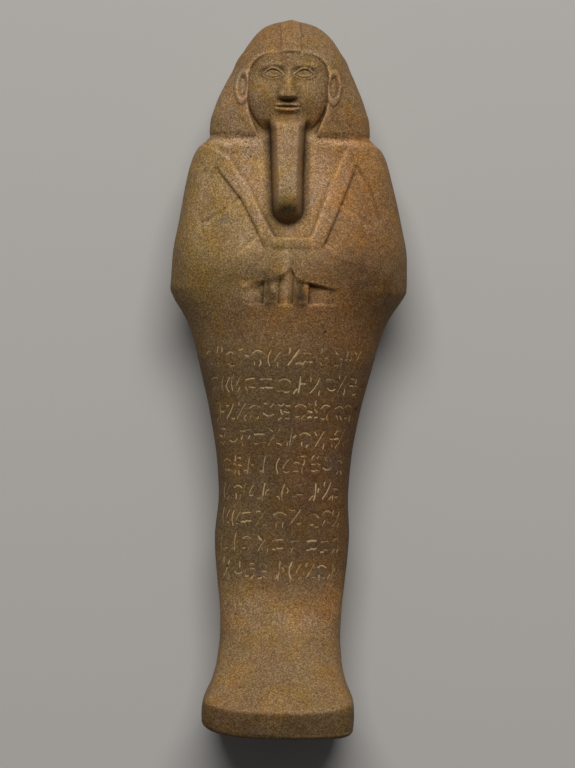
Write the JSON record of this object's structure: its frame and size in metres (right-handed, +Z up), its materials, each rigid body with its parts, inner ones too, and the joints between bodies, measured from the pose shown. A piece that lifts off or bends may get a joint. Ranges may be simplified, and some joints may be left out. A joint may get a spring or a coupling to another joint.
{
  "type": "ushabti figurine",
  "caption": "Carved stone ushabti lying on its back: mummiform figure with wig-bag headdress, long straight beard, crossed hands holding hoes, and a forward foot.",
  "frame": {"origin": "middle of the bounding box, on the surface that the figure's back rests on", "axes": "+Z up out of the figure's chest, +Y from the soles to the crown, +X towards the figure's left hand"},
  "size_m": [0.0986, 0.2966, 0.0603],
  "materials": {
    "stone": "worn matt quartzite, brown, with coarse yellow, cream and dark grains"
  },
  "bodies": {
    "root": {"figurine": "stone"}
  },
  "joints": []
}
